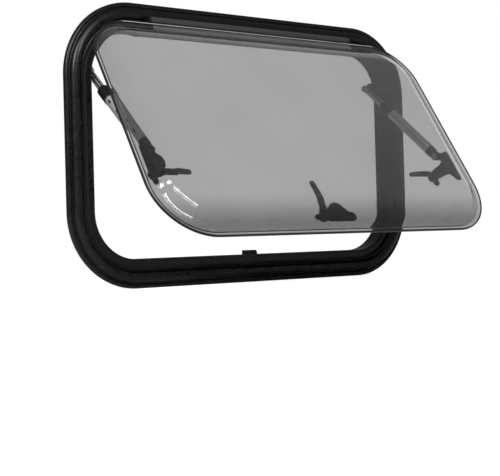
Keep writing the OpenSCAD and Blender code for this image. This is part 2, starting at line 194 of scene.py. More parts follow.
def turned(section, steps=48):
    """A section of (radius, height) turned about Z."""
    turns = [math.tau * i / steps for i in range(steps)]
    rings = [[(r * math.cos(t), r * math.sin(t), z) for r, z in section] for t in turns]
    return skin(rings, ring_closed=False)


def cylinder(r, low, high):
    """A round bar along Z."""
    return turned([(0, low), (r, low), (r, high), (0, high)])


def prism(outline, low, high):
    """A closed outline in XY drawn out along Z."""
    return skin([[(x, y, z) for x, y in outline] for z in (low, high)], loop=False)


def box(low, high):
    """A block between two corners."""
    outline = [(low[0], low[1]), (high[0], low[1]), (high[0], high[1]), (low[0], high[1])]
    return prism(outline, low[2], high[2])


def trapezium(half_low, low, half_high, high):
    """An outline with two level sides, each with its half width."""
    return [(-half_low, low), (half_low, low), (half_high, high), (-half_high, high)]


def round_corners(w, h, r_top, r_bottom, steps):
    """Centre, radius and angle at each step round a rectangle with round corners."""
    corners = ((1, 1, r_top, 0), (-1, 1, r_top, 90), (-1, -1, r_bottom, 180), (1, -1, r_bottom, 270))
    return [
        (side_x * (w / 2 - r), side_y * (h / 2 - r), r, math.radians(start + 90 * i / steps))
        for side_x, side_y, r, start in corners
        for i in range(steps + 1)
    ]


def round_outline(w, h, r_top, r_bottom, steps):
    """A rectangle round the origin with round corners."""
    places = round_corners(w, h, r_top, r_bottom, steps)
    return [(cx + r * math.cos(t), cy + r * math.sin(t)) for cx, cy, r, t in places]


def swept(section, w, h, r_top, r_bottom, steps, lids=False):
    """A section of (inward, outward) points swept round a rectangle with round corners."""
    rings = [
        [(cx + (r - p) * math.cos(t), cy + (r - p) * math.sin(t), z) for p, z in section]
        for cx, cy, r, t in round_corners(w, h, r_top, r_bottom, steps)
    ]
    return skin(rings, ring_closed=not lids, lids=lids)


def moved(bm, *steps):
    """The bmesh after one matrix or several, the last one first."""
    matrix = Matrix()
    for step in steps:
        matrix = matrix @ step
    bm.transform(matrix)
    if matrix.determinant() < 0:
        bmesh.ops.reverse_faces(bm, faces=bm.faces)
    return bm


def shift(x=0, y=0, z=0):
    """A matrix that moves."""
    return Matrix.Translation((x, y, z))


def turn(degrees, axis):
    """A matrix that turns about an axis."""
    return Matrix.Rotation(math.radians(degrees), 4, axis)


def mirror_x(side):
    """A matrix that mirrors a right piece for the left side, whose sign is -1."""
    return Matrix.Diagonal((side, 1, 1, 1))


def rounded(bm, width, segments, angle):
    """Rounds the edges that are sharper than an angle."""
    sharp = [e for e in bm.edges if e.is_manifold and e.calc_face_angle(0) > math.radians(angle)]
    shape = {"offset": width, "segments": segments, "profile": 0.5}
    bmesh.ops.bevel(bm, geom=sharp, affect="EDGES", clamp_overlap=True, **shape)
    return tidy(bm)


def joined(*parts):
    """Several solids in one bmesh."""
    bm = bmesh.new()
    for part in parts:
        mesh = bpy.data.meshes.new("part")
        part.to_mesh(mesh)
        part.free()
        bm.from_mesh(mesh)
        bpy.data.meshes.remove(mesh)
    return bm


def placed(name, data):
    """A new object in the scene."""
    obj = bpy.data.objects.new(name, data)
    bpy.context.scene.collection.objects.link(obj)
    return obj


def loose_object(bm, name):
    """A new object in the scene that takes a bmesh over."""
    mesh = bpy.data.meshes.new(name)
    bm.to_mesh(mesh)
    bm.free()
    return placed(name, mesh)


def set_all(made, settings):
    """Gives a modifier or a shader node its settings."""
    for key, value in settings.items():
        setattr(made, key, value)


def modify(obj, kind, **settings):
    """Adds a modifier to an object."""
    set_all(obj.modifiers.new(kind, kind), settings)


def modified_mesh(obj):
    """The mesh that an object's modifiers give."""
    graph = bpy.context.evaluated_depsgraph_get()
    return bpy.data.meshes.new_from_object(obj.evaluated_get(graph))


def evaluated(obj, *others):
    """The bmesh that an object's modifiers give. The object and its helpers are removed."""
    mesh = modified_mesh(obj)
    bm = bmesh.new()
    bm.from_mesh(mesh)
    bpy.data.meshes.remove(mesh)
    for old in (obj, *others):
        data = old.data
        bpy.data.objects.remove(old)
        bpy.data.meshes.remove(data)
    return bm


def carved(bm, *cutters):
    """The solid less its cutters."""
    obj, tool = loose_object(bm, "solid"), loose_object(joined(*cutters), "tool")
    modify(obj, "BOOLEAN", operation="DIFFERENCE", solver="EXACT", object=tool)
    return evaluated(obj, tool)


def moulded(bm, voxel, smoothing, keep=0.5):
    """Melts overlapping solids into one moulding with soft edges, and keeps a share of its faces."""
    obj = loose_object(bm, "moulding")
    modify(obj, "REMESH", mode="VOXEL", voxel_size=voxel)
    modify(obj, "SMOOTH", factor=0.5, iterations=smoothing)
    modify(obj, "DECIMATE", ratio=keep)
    return evaluated(obj)


def flat_normals(obj):
    """Bakes normals weighted by area, so large flat faces stay flat beside their rounded edges."""
    modify(obj, "WEIGHTED_NORMAL", keep_sharp=True, weight=100)
    old = obj.data
    name = old.name
    mesh = modified_mesh(obj)
    obj.modifiers.clear()
    obj.data = mesh
    bpy.data.meshes.remove(old)
    mesh.name = name


def piece(name, bm, place, body, material, stands_for=(), smooth_angle=35, own_axes=False):
    """Makes a shown piece from a bmesh in millimetres. With its own axes it keeps them for its textures."""
    bm.transform(Matrix.Scale(MM, 4))
    if not own_axes:
        bm.transform(place)
    obj = loose_object(bm, name)
    mesh = obj.data
    mesh.shade_smooth()
    mesh.set_sharp_from_angle(angle=math.radians(smooth_angle))
    for one in material if isinstance(material, list) else [material]:
        mesh.materials.append(one)
    if own_axes:
        obj.matrix_world = place
    flat_normals(obj)
    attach(obj, body)
    if stands_for:
        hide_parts(*stands_for)
    return obj


# Finishes


# Worn edges: where sharpness starts and ends to show, and how much paler they are
WORN_EDGE = (0.52, 0.62)
WORN_GAIN = 2.2
WORN_LIFT = 0.02
# Bands of the panes in metres from the hinge line, up the sash or out of it
LOW_BAND = (-0.298, -0.264)
RIM_BAND = (0.003, 0.0145)
MIRROR_FADE = (-0.27, -0.13)
# Share of the tint left below the low band and below the rim's band, darkened there as painted shade
LOW_PAINTED_SHADE = 0.67
RIM_PAINTED_SHADE = 0.93
TINT_SWING = 0.015
TINT_CLOUD = 0.09
# Drawn metal has its grain pulled long along its own axis
DRAWN_ALONG_X = (60, 1, 1)
DRAWN_ALONG_Z = (1, 1, 40)
# Strength of the mirror on the panes' edges, and what is left of it low on the inner pane
EDGE_MIRROR = 0.3
INNER_LOW_MIRROR = 0.05
FIN_GREY = (0.34, 0.34, 0.343)
STEEL = (0.42, 0.42, 0.43)
# Near-black painted shade for the stays' slots and grooves, where the recesses would lie in shadow
RECESS_PAINTED_SHADE = (0.01, 0.01, 0.01)
# Light grey painted highlight along the panes' top front edge, where the polished edge would catch the lamps
HIGHLIGHT_PAINT_GREY = (0.42, 0.42, 0.42)


def feed(tree, made, inputs):
    """Sets a shader node's inputs by name or number, or links them where an output is given."""
    for key, value in inputs.items():
        if isinstance(value, bpy.types.NodeSocket):
            tree.links.new(value, made.inputs[key])
        else:
            made.inputs[key].default_value = value


def node(tree, kind, output, inputs=None, **settings):
    """An output of a new shader node with its settings and inputs."""
    made = tree.nodes.new(kind)
    set_all(made, settings)
    feed(tree, made, inputs or {})
    return made.outputs[output]


def new_material(name):
    """A new material's node tree and shader."""
    material = bpy.data.materials.new(name)
    material.use_nodes = True
    return material.node_tree, material.node_tree.nodes["Principled BSDF"]


def noise(tree, where, size, detail, stretch=(1, 1, 1)):
    """Noise with features of a given size in metres, longer along a stretched axis."""
    at = node(tree, "ShaderNodeMapping", "Vector", {"Vector": where, "Scale": [1 / s for s in stretch]})
    inputs = {"Vector": at, "Scale": 1 / size, "Detail": detail, "Roughness": 0.55}
    return node(tree, "ShaderNodeTexNoise", "Fac", inputs)


def spread_value(tree, fac, low, high, start=0.3, end=0.7):
    """A value that runs from low to high as a factor runs from start to end."""
    ends = {"From Min": start, "From Max": end, "To Min": low, "To Max": high}
    return node(tree, "ShaderNodeMapRange", "Result", {"Value": fac, **ends})


def mixed(tree, fac, one, two):
    """A colour that runs from one to two with a factor."""
    return node(tree, "ShaderNodeMix", "Result", {"Factor": fac, "A": one, "B": two}, data_type="RGBA")


def cloudy(tree, where, colour, swing, size, stretch=(1, 1, 1)):
    """A colour that drifts either way by a share of itself, in clouds of a given size."""
    darker, paler = ((*[min(1, c * gain) for c in colour], 1) for gain in (1 - swing, 1 + swing))
    cloud = noise(tree, where, size, 3, stretch)
    return mixed(tree, spread_value(tree, cloud, 0, 1), darker, paler)


def worn_edges(tree, shown, colour, wear):
    """A colour that turns paler along the piece's sharp edges."""
    paler = (*[min(1, c * WORN_GAIN + WORN_LIFT) for c in colour], 1)
    edge = node(tree, "ShaderNodeNewGeometry", "Pointiness")
    return mixed(tree, spread_value(tree, edge, 0, wear, *WORN_EDGE), shown, paler)


def finish(
    name,
    colour,
    roughness,
    metallic=0.0,
    specular=0.5,
    blotch=0.15,
    blotch_size=0.03,
    grain=0.0004,
    depth=0.00002,
    stretch=(1, 1, 1),
    rough_swing=0.08,
    wear=0.0,
):
    """A solid finish: blotchy colour, uneven gloss, surface grain and paler worn edges."""
    tree, shader = new_material(name)
    where = node(tree, "ShaderNodeTexCoord", "Object")
    shown = cloudy(tree, where, colour, blotch, blotch_size, stretch)
    if wear:
        shown = worn_edges(tree, shown, colour, wear)
    smear = noise(tree, where, blotch_size / 4, 5, stretch)
    gloss = spread_value(tree, smear, max(0.02, roughness - rough_swing), roughness + rough_swing)
    height = noise(tree, where, grain, 6, stretch)
    bump = node(tree, "ShaderNodeBump", "Normal", {"Strength": 1.0, "Distance": depth, "Height": height})
    feed(tree, shader, {"Base Color": shown, "Roughness": gloss, "Normal": bump})
    feed(tree, shader, {"Metallic": metallic, "Specular IOR Level": specular})


def vector_maths(tree, operation, output, inputs):
    """An output of a vector sum."""
    return node(tree, "ShaderNodeVectorMath", output, inputs, operation=operation)


def acrylic(name, tint, roughness, mirror, transmission=1.0, low_mirror=1.0):
    """Smoked acrylic with a cloudy tint, darkened with painted shade low down and along the flat rim, and
    less mirror low down.
    """
    tree, shader = new_material(name)
    where = node(tree, "ShaderNodeTexCoord", "Object")
    offset = vector_maths(tree, "SUBTRACT", "Vector", {0: where, 1: HINGE_POINT})
    up = vector_maths(tree, "DOT_PRODUCT", "Value", {0: offset, 1: SASH_UP})
    out = vector_maths(tree, "DOT_PRODUCT", "Value", {0: offset, 1: SASH_OUT})
    # Painted shade: the tint darkens low on the sash and along the rim
    low = spread_value(tree, up, LOW_PAINTED_SHADE, 1, *LOW_BAND)
    rim = spread_value(tree, out, RIM_PAINTED_SHADE, 1, *RIM_BAND)
    shade = node(tree, "ShaderNodeMath", "Value", {0: low, 1: rim}, operation="MULTIPLY")
    tones = cloudy(tree, where, tint, TINT_SWING, TINT_CLOUD)
    deeper = vector_maths(tree, "SCALE", "Vector", {0: tones, "Scale": shade})
    glare = spread_value(tree, up, mirror * low_mirror, mirror, *MIRROR_FADE)
    feed(tree, shader, {"Base Color": deeper, "Specular Tint": glare, "Roughness": roughness})
    feed(tree, shader, {"Transmission Weight": transmission, "IOR": 1.49})


def finishes(looks):
    """The window's materials, made once."""
    if "frame black" in bpy.data.materials:
        return bpy.data.materials
    black, metal = looks.latches.tone, looks.stays.metal
    drawn = {"grain": 0.0003, "stretch": DRAWN_ALONG_X}
    finish("frame black", looks.frame.tone, looks.frame.roughness, blotch=0.1, specular=0.36, wear=0.04)
    finish("seal rubber", looks.seal.tone, 0.75, specular=0.25, grain=0.0002, rough_swing=0.06)
    finish("hinge grey", looks.hinge.tone, 0.38, metallic=0.3, specular=0.4, **drawn)
    finish("fin grey", FIN_GREY, 0.45, metallic=0.2, **drawn)
    finish("hinge cap black", black, 0.5, specular=0.3)
    fine = {"blotch": 0.12, "blotch_size": 0.004, "grain": 0.00025, "depth": 0.00001}
    finish("stay aluminium", metal, 0.34, metallic=0.75, stretch=DRAWN_ALONG_Z, **fine)
    finish("steel", STEEL, 0.28, metallic=1.0, grain=0.0002, depth=0.000008)
    finish("black nylon", black, 0.46, specular=0.35, grain=0.00035, depth=0.00003, wear=0.35)
    # Painted shade for the stays' slots and grooves
    finish("recess painted shade", RECESS_PAINTED_SHADE, 0.8, specular=0.1)
    panes = looks.panes
    ring_tint = [c * panes.ring for c in panes.outer_tint]
    acrylic("smoked acrylic", panes.outer_tint, 0.0, panes.mirror)
    acrylic("inner acrylic", panes.inner_tint, 0.0, panes.mirror, low_mirror=INNER_LOW_MIRROR)
    # The near-black cut edges, and the painted shade on the faces' outermost strip
    acrylic("acrylic edge", panes.edge_tint, 0.3, EDGE_MIRROR, panes.edge_clear)
    acrylic("acrylic inner edge", panes.inner_tint, 0.2, EDGE_MIRROR, 0.7)
    acrylic("acrylic ring", ring_tint, 0.0, panes.mirror)
    # Painted highlight for the panes' top front edge
    finish("acrylic painted highlight edge", HIGHLIGHT_PAINT_GREY, 0.3, depth=0.000005)
    return bpy.data.materials


# Sizes and colours


def colour_setting(label, description, default):
    """A colour that a user can change."""
    return FloatVectorProperty(
        name=label, description=description, subtype="COLOR", size=3, min=0, max=1, default=default
    )


def share_setting(label, description, default):
    """A share from 0 to 1."""
    return FloatProperty(name=label, description=description, subtype="FACTOR", min=0, max=1, default=default)


def length_setting(label, description, default):
    """A length in metres."""
    return FloatProperty(name=label, description=description, unit="LENGTH", default=default)


def power_setting(label, description, default):
    """A lamp's power in watts."""
    return FloatProperty(name=label, description=description, unit="POWER", min=0, default=default)


def count_setting(label, description, least, most, default):
    """A whole number between two limits."""
    return IntProperty(name=label, description=description, min=least, max=most, default=default)


class FrameLooks(bpy.types.PropertyGroup):
    """The moulded outer frame."""

    tone: colour_setting("Colour", "Colour of the moulded frame", (0.0025, 0.0025, 0.0027))
    roughness: share_setting("Roughness", "Dullness of the frame", 0.32)
    corner_steps: count_setting("Corner steps", "Faces along each round corner", 8, 96, 40)


class SealLooks(bpy.types.PropertyGroup):
    """The rubber seal that the sash shuts on."""

    tone: colour_setting("Colour", "Colour of the rubber", (0.0065, 0.0065, 0.0068))
    groove: length_setting("Groove", "Depth of the groove below the seal's lip", 0.0006)


class PaneLooks(bpy.types.PropertyGroup):
    """The two bonded acrylic panes."""

    outer_tint: colour_setting("Outer tint", "Tint of the outer pane", (0.615, 0.615, 0.619))
    inner_tint: colour_setting("Inner tint", "Tint of the inner pane", (0.675, 0.675, 0.679))
    # The cut edges' near-black tint, which also lies on the faces' outermost strip as painted shade
    edge_tint: colour_setting("Edge tint", "Tint seen along the panes' cut edges", (0.02, 0.02, 0.021))
    edge_clear: share_setting("Edge clarity", "How much light the cut edges pass", 0.06)
    mirror: share_setting("Mirror", "How strongly the panes mirror the room", 0.55)
    ring: share_setting("Ring", "Tint of the outermost ring beside the outer pane's", 0.8)
    edge_round: length_setting("Edge rounding", "Radius of the panes' polished edges", 0.0006)


class HingeLooks(bpy.types.PropertyGroup):
    """The hinge channel along the top rail and the profile in it."""

    tone: colour_setting("Colour", "Colour of the hinge's two profiles", (0.055, 0.055, 0.057))
    edge_round: length_setting("Edge rounding", "Radius of the profiles' edges", 0.0003)


class StayLooks(bpy.types.PropertyGroup):
    """The two telescopic stays."""

    metal: colour_setting("Metal", "Colour of the drawn tubes and rods", (0.85, 0.85, 0.86))
    slots: count_setting("Slots", "Catch slots along each tube", 0, 8, 4)
    slot_pitch: length_setting("Slot pitch", "Distance between catch slots", 0.021)
    slot_length: length_setting("Slot length", "Length of a catch slot", 0.0065)
    slot_width: length_setting("Slot width", "Width of a catch slot", 0.0022)
    groove: length_setting("Groove", "Width of the narrow grooves along the rod", 0.0016)


class LatchLooks(bpy.types.PropertyGroup):
    """The latches and the other black nylon fittings."""

    tone: colour_setting("Colour", "Colour of the moulded nylon", (0.006, 0.006, 0.0062))
    fineness: length_setting("Fineness", "Cell size at which mouldings are melted together", 0.00045)
    smoothing: count_setting("Smoothing", "Passes that round a moulding's edges", 0, 20, 5)
    screw: length_setting("Screw head", "Diameter of the latch screws' heads", 0.0062)


class StageLooks(bpy.types.PropertyGroup):
    """Floor, lamps and camera."""

    floor_tone: colour_setting("Floor", "Colour of the plain floor", (0.86, 0.86, 0.86))
    key_power: power_setting("Key", "Power of the side lamp", 30)
    strip_power: power_setting("Strip", "Power of the slim lamp low in front", 20)
    spot_power: power_setting("Spot", "Power of the small lamp up in front", 4)
    ambient: share_setting("Ambient", "Strength of the even light all round", 0.18)
    lens: FloatProperty(
        name="Lens", description="Focal length of the camera", unit="CAMERA", min=10, default=77.64
    )


class WindowLooks(bpy.types.PropertyGroup):
    """All sizes and colours of the window's looks."""

    frame: PointerProperty(type=FrameLooks)
    seal: PointerProperty(type=SealLooks)
    panes: PointerProperty(type=PaneLooks)
    hinge: PointerProperty(type=HingeLooks)
    stays: PointerProperty(type=StayLooks)
    latches: PointerProperty(type=LatchLooks)
    stage: PointerProperty(type=StageLooks)


# Frame and seal


def frame_section():
    """The frame's section: outer bead, broad round face, seat, inner lip and stub."""
    back_cut, stub_cut = 0.4, 1.2
    bead_up = EDGE_BEAD + 0.2
    step_up = SEAT_H + 0.3
    stub_in = FLANGE_LAP + 1
    return (
        [(back_cut, 0), (0, back_cut)]
        + arc(EDGE_BEAD, bead_up, EDGE_BEAD, EDGE_BEAD, 180, 30, 12)
        + arc(HUMP_MID, HUMP_FOOT, HUMP_W, FACE_H - HUMP_FOOT, 172, 24, 28)
        + [(SEAL_IN - STEP_W, step_up), (SEAL_IN, SEAT_H)]
        + arc(FACE_W - INNER_ROUND, SEAT_H - INNER_ROUND, INNER_ROUND, INNER_ROUND, 90, 0, 10)
        + [(FACE_W, stub_cut - STUB_DEPTH), (FACE_W - stub_cut, -STUB_DEPTH)]
        + [(stub_in + stub_cut, -STUB_DEPTH), (stub_in, stub_cut - STUB_DEPTH), (stub_in, 0)]
    )


def seal_section(groove):
    """The seal's section: foot, a groove on each side and the round lip."""
    top = -box_mm("frame_seal")[0].y
    lip_r = SEAL_W / 2
    foot, low, high = SEAT_H + 0.9, SEAT_H + 1.3, SEAT_H + 1.7
    return (
        [(0, SEAT_H), (0, foot), (groove, low), (groove, high)]
        + arc(lip_r, top - lip_r, lip_r, lip_r, 190, -10, 14)
        + [(SEAL_W - groove, high), (SEAL_W - groove, low), (SEAL_W, foot), (SEAL_W, SEAT_H)]
    )


class WINDOW_OT_frame(bpy.types.Operator):
    """Build the moulded outer frame"""

    bl_idname = "caravan_window.frame"
    bl_label = "Outer Frame"

    def execute(self, context):
        looks = context.scene.window_looks
        steps = looks.frame.corner_steps
        ring = swept(frame_section(), FRAME_W, FRAME_H, FRAME_R, FRAME_R, steps)
        black = finishes(looks)["frame black"]
        piece("outer_frame_ring", ring, FACE, "frame", black, ["outer_frame"])
        return {"FINISHED"}


class WINDOW_OT_seal(bpy.types.Operator):
    """Build the rubber seal on the frame's seat"""

    bl_idname = "caravan_window.seal"
    bl_label = "Rubber Seal"

    def execute(self, context):
        looks = context.scene.window_looks
        section = seal_section(looks.seal.groove / MM)
        w, h = FRAME_W - 2 * SEAL_IN, FRAME_H - SEAL_IN - SEAL_TOP
        r_top = FRAME_R - (SEAL_IN + SEAL_TOP) / 2
        ring = swept(section, w, h, r_top, FRAME_R - SEAL_IN, looks.frame.corner_steps)
        moved(ring, shift(y=(SEAL_IN - SEAL_TOP) / 2))
        rubber = finishes(looks)["seal rubber"]
        piece("seal_ring", ring, FACE, "frame", rubber, ["frame_seal"])
        return {"FINISHED"}


# Hinge


BEAD_R = 2.9
CHANNEL_BORE = 3.2
CHANNEL_R = 5.5
# Margin in degrees on each side of the channel's mouth
MOUTH_MARGIN = 8
ARM_T = 2.2
ARM_END = PANE_TOP - 0.1
WEB_END = ARM_END + 0.9
FIN_END = 16.5
CAP_ROUND = 0.9
OPEN_MORE = JOINTS["sash_hinge"]["range_deg"][1]
# The hinge line, with the frame's face plane for its axes
HINGE_LINE = FACE @ shift(0, HINGE_UP * MM, HINGE_OUT * MM)
# Lays a section of (down, out) points across the hinge line, drawn out along X
ALONG_HINGE = Matrix(((0, 0, 1, 0), (-1, 0, 0, 0), (0, 1, 0, 0), (0, 0, 0, 1)))


def hinge_block():
    """The block from the channel down to the frame's seat, in (down, out) points."""
    return [(-CHANNEL_R, SEAT_H - HINGE_OUT), (0, SEAT_H - HINGE_OUT)]


def channel_section():
    """The C-shaped channel on its block, in (down, out) points."""
    mouth = math.degrees(math.asin(ARM_T / 2 / CHANNEL_BORE)) + MOUTH_MARGIN
    start = math.degrees(OPEN) + OPEN_MORE + mouth
    end = 360 - mouth
    return (
        arc(0, 0, CHANNEL_R, CHANNEL_R, start, 180, 14)
        + hinge_block()
        + arc(0, 0, CHANNEL_R, CHANNEL_R, 271, end, 10)
        + arc(0, 0, CHANNEL_BORE, CHANNEL_BORE, end, start, 28)
    )


def profile_section():
    """The bead, its arm and the fin behind the panes, in (down, out) points."""
    bead_gap = math.degrees(math.asin(ARM_T / 2 / BEAD_R))
    front = OUTER_BACK - BOND
    return (
        arc(0, 0, BEAD_R, BEAD_R, bead_gap, 360 - bead_gap, 28)
        + [(WEB_END, -ARM_T / 2), (WEB_END, INNER_BACK), (FIN_END, INNER_BACK)]
        + [(FIN_END, front), (WEB_END, front), (ARM_END, front), (ARM_END, ARM_T / 2)]
    )


class WINDOW_OT_hinge(bpy.types.Operator):
    """Build the hinge channel, its end caps and the profile on the panes"""

    bl_idname = "caravan_window.hinge"
    bl_label = "Hinge"

    def execute(self, context):
        looks = context.scene.window_looks
        materials = finishes(looks)
        grey, black = materials["hinge grey"], materials["hinge cap black"]
        soft = looks.hinge.edge_round / MM
        half = HINGE_LEN / 2

        channel = moved(rounded(prism(channel_section(), -half, half), soft, 2, 40), ALONG_HINGE)
        piece("hinge_channel_rail", channel, HINGE_LINE, "frame", grey, ["hinge_channel"])

        cap_end = box_mm("hinge_cap_right")[1].x
        outline = arc(0, 0, CHANNEL_R, CHANNEL_R, -90, 180, 30) + hinge_block()
        for side, sign in SIDES.items():
            cap = rounded(prism(outline, half, cap_end), CAP_ROUND, 3, 40)
            moved(cap, mirror_x(sign), ALONG_HINGE)
            name = f"hinge_end_{side}"
            piece(name, cap, HINGE_LINE, "frame", black, [f"hinge_cap_{side}"])

        profile = moved(rounded(prism(profile_section(), -half, half), soft, 2, 40), ALONG_HINGE)
        tones = [grey, materials["fin grey"]]
        bead = piece("hinge_bead_profile", profile, SASH, "sash", tones, ["hinge_profile"])
        for face in bead.data.polygons:
            if (SASH.inverted() @ face.center / MM).y < -PANE_TOP:
                face.material_index = 1
        return {"FINISHED"}


# Panes


# The slope starts nearer the edge than the solid's and is gentler, to mirror the lamps as in the photo
SLOPE_START = 4
SLOPE_STEPS = 36
# A face belongs to a cut edge if its normal points out of the sash by less than this share
EDGE_LEAN = 0.72
# How far below the pane's top edge the cut edge is painted as a highlight, and how far it has to point out
HIGHLIGHT_DEPTH = 1.5
HIGHLIGHT_LEAN = 0.1


def slope(t):
    """Height of the outer pane above its rim, t of the way up its slope."""
    return DOME_H * (1 - math.cos(math.pi * t)) / 2


def outer_pane_solid(soft, steps):
    """The outer pane: flat rim, slope and raised middle, with round edges."""
    run = RIM_W + SLOPE_W - SLOPE_START
    shares = [i / SLOPE_STEPS for i in range(SLOPE_STEPS + 1)]
    climb = [(SLOPE_START + run * t, slope(t)) for t in shares]
    front = [(p, z + OUTER_T) for p, z in climb]
    edge = arc(soft, soft, soft, soft, 270, 180, 4) + arc(soft, OUTER_T - soft, soft, soft, 180, 90, 4)
    # The strip out to the border takes the dark edge tint as painted shade beside the cut edge
    border = soft + EDGE_LINE
    section = list(reversed(climb)) + [(border, 0)] + edge + [(border, OUTER_T)] + front
    shell = swept(section, SASH_W, SASH_H, SASH_R_TOP, SASH_R_BOTTOM, steps, lids=True)
    return moved(shell, shift(y=-PANE_TOP - SASH_H / 2, z=OUTER_BACK))


def inner_pane_solid(soft, steps):
    """The flat inner pane, behind the outer one's rim."""
    high = SASH_H + PANE_TOP - TOP_INSET - INNER_INSET
    r_top = SASH_R_TOP + PANE_TOP - TOP_INSET - INNER_INSET
    outline = round_outline(SASH_W - 2 * INNER_INSET, high, r_top, SASH_R_BOTTOM - INNER_INSET, steps)
    plate = rounded(prism(outline, 0, INNER_T - BOND), soft, 3, 50)
    return moved(plate, shift(y=-TOP_INSET - high / 2, z=INNER_BACK))


def border_inset(x, y):
    """How far a point of the sash's plane lies inside the outer pane's edge."""
    y += PANE_TOP + SASH_H / 2
    r = SASH_R_TOP if y > 0 else SASH_R_BOTTOM
    out_x, out_y = abs(x) - SASH_W / 2 + r, abs(y) - SASH_H / 2 + r
    if out_x > 0 and out_y > 0:
        return r - math.hypot(out_x, out_y)
    return min(SASH_W / 2 - abs(x), SASH_H / 2 - abs(y))


def paint_borders(obj, edge_line):
    """Gives a pane's dark cut edge with its strip of painted shade, its deeper ring and the top edge's
    painted highlight their tints.
    """
    into = SASH.inverted()
    for face in obj.data.polygons:
        at = into @ face.center / MM
        outward = face.normal.dot(Vector(SASH_OUT))
        inset = border_inset(at.x, at.y)
        if abs(outward) < EDGE_LEAN or inset < edge_line:
            # Faces near the top that point outwards take the painted highlight
            lit = at.y > -PANE_TOP - HIGHLIGHT_DEPTH and outward > HIGHLIGHT_LEAN
            face.material_index = 3 if lit else 1
        elif inset < INNER_INSET:
            face.material_index = 2


def pane(looks, materials, name, solid, glass, edge, slot, replaced):
    """Makes a pane with its four tints."""
    soft = looks.panes.edge_round / MM
    tints = [materials[tint] for tint in (glass, edge, "acrylic ring", "acrylic painted highlight edge")]
    bm = solid(soft, looks.frame.corner_steps)
    made = piece(name, bm, SASH, "sash", tints, [replaced])
    paint_borders(made, soft + EDGE_LINE)


class WINDOW_OT_panes(bpy.types.Operator):
    """Build the domed outer pane and the flat inner pane"""

    bl_idname = "caravan_window.panes"
    bl_label = "Panes"

    def execute(self, context):
        looks = context.scene.window_looks
        materials = finishes(looks)
        outer = ("smoked acrylic", "acrylic edge", "smoked_acrylic", "outer_pane")
        inner = ("inner acrylic", "acrylic inner edge", "inner_acrylic", "inner_pane")
        pane(looks, materials, "outer_pane_dome", outer_pane_solid, *outer)
        pane(looks, materials, "inner_pane_sheet", inner_pane_solid, *inner)
        return {"FINISHED"}


# Stays


ROD_R = 4.7
ROD_SOFT = 0.15
TUBE_R = 6.7
TUBE_BORE_R = 5.1
COLLAR_R = 7.95
COLLAR_FLATS = 8
KNUCKLE_R = 4.8
KNUCKLE_HALF = ROD_R + 0.1
KNUCKLE_LEN = 16
KNUCKLE_PLUG = 8
NECK_HALF = 4
PIN_R = 2.5
PIN_HOLE_R = PIN_R + 0.06
SIDE_GAP = 0.5
EAR_R = 5.25
EAR_T = 3
EAR_START = KNUCKLE_HALF + SIDE_GAP
PIN_HEAD_R = 4
PIN_HEAD_T = 1.6
# Cell sizes at which the stays' mouldings are melted together, and the passes that soften them
KNUCKLE_CELL = 0.4
EAR_CELL = 0.35
SOFT_PASSES = 3
# Width and depth of the rod's wide groove, and a narrow groove's depth as a share of its width
WIDE_GROOVE = (3.6, 3.4)
GROOVE_DEPTH = 0.9
# Depth below the rod's surface at which painted shade starts on a groove's faces
GROOVE_START = 0.25
# Angles round the left stay at which the narrow grooves and the slots lie, in degrees
GROOVE_TURNS = (199, 243, 319)
SLOT_TURN = 205
# An angle beyond 180 and its mirror image on the right stay add up to this
MIRROR_SUM = 540
SLOT_DEPTH = 1.1
# Distance from the tube's upper end to its first slot
SLOT_START = 14


def stay_frame(side):
    """The stay's own frame: the lower pivot is its origin and Z runs up the stay."""
    pivot = Vector(JOINTS[f"tube_pivot_{side}"]["pos_m"])
    along_z = Vector(JOINTS[f"rod_slide_{side}"]["axis"])
    across = Vector((1, 0, 0))
    return axes(pivot, across, along_z.cross(across), along_z)


def along_stay(node_name, side):
    """Where a CAD node starts and ends along its stay, in millimetres."""
    into = stay_frame(side).inverted()
    heights = [(into @ v.co).z / MM for v in frame["nodes"][node_name].data.vertices]
    return min(heights), max(heights)


def rod_section(groove, sign):
    """The rod's round section with one wide groove and three narrow ones."""
    turns = GROOVE_TURNS if sign < 0 else [MIRROR_SUM - a for a in reversed(GROOVE_TURNS)]
    cuts = [(90, *WIDE_GROOVE)] + [(a, groove, groove * GROOVE_DEPTH) for a in turns]
    following = cuts[1:] + [(cuts[0][0] + 360, *WIDE_GROOVE)]
    points = []
    for (middle, width, depth), (next_middle, next_width, _) in zip(cuts, following):
        half, next_half = (math.degrees(math.asin(w / 2 / ROD_R)) for w in (width, next_width))
        t = math.radians(middle)
        for s in (-1, 1):
            x, y = ROD_R - depth, s * width / 2
            points.append((x * math.cos(t) - y * math.sin(t), x * math.sin(t) + y * math.cos(t)))
        points += arc(0, 0, ROD_R, ROD_R, middle + half, next_middle - next_half, 10)
    return points


def cross_bar(r, low, high):
    """A round bar along X."""
    return moved(cylinder(r, low, high), turn(90, "Y"))


